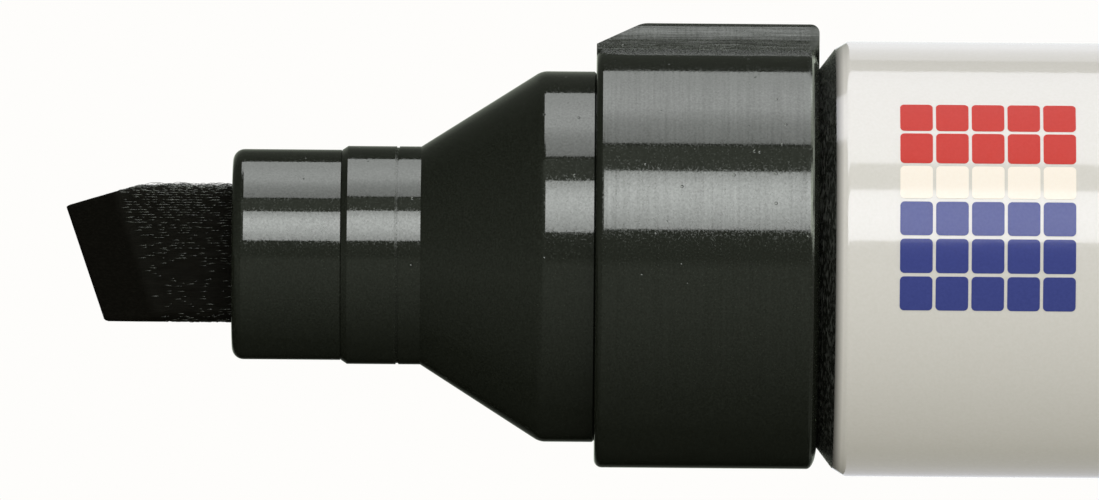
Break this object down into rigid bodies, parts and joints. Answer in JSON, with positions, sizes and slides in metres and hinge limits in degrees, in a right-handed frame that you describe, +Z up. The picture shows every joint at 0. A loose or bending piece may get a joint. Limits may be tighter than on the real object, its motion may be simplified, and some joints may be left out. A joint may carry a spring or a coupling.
{
  "type": "permanent marker",
  "caption": "Wide chisel-nib permanent marker with an aluminium barrel, black plastic nose, anti-roll lug on its collar and a cap pushed onto the tail.",
  "frame": {"origin": "on the marker's axis, halfway along the aluminium tube", "axes": "+X along the axis from the nib towards the tail, +Z up through the anti-roll lug, +Y sideways"},
  "size_m": [0.1508, 0.0222, 0.0231],
  "materials": {
    "barrel_lacquer": "warm light grey satin lacquer on aluminium",
    "black_plastic": "moulded black polypropylene with a soft gloss",
    "ring_rubber": "matte black rubber, slightly rough",
    "nib_felt": "pressed felt soaked with black ink",
    "ink_fibre": "bonded fibre soaked with ink",
    "filler_film": "thin clear film",
    "natural_plastic": "unpigmented polypropylene",
    "cap_plastic": "moulded black polypropylene with a soft gloss"
  },
  "bodies": {
    "marker": {"barrel_tube": "barrel_lacquer", "nose_body": "black_plastic", "mouth_ring": "ring_rubber", "anti_roll_collar": "black_plastic", "nib_holder": "black_plastic", "ink_filler": "ink_fibre", "filler_film": "filler_film", "breather_tube": "natural_plastic", "tail_plug": "black_plastic"},
    "nib": {"chisel_nib": "nib_felt"},
    "cap": {"cap_shell": "cap_plastic", "cap_liner": "natural_plastic"}
  },
  "joints": [
    {"name": "cap_slide", "type": "slide", "parent": "marker", "child": "cap", "axis": [1, 0, 0], "range_m": [0, 0.015]},
    {"name": "nib_slide", "type": "slide", "parent": "marker", "child": "nib", "axis": [-1, 0, 0], "range_m": [0, 0.024]}
  ]
}
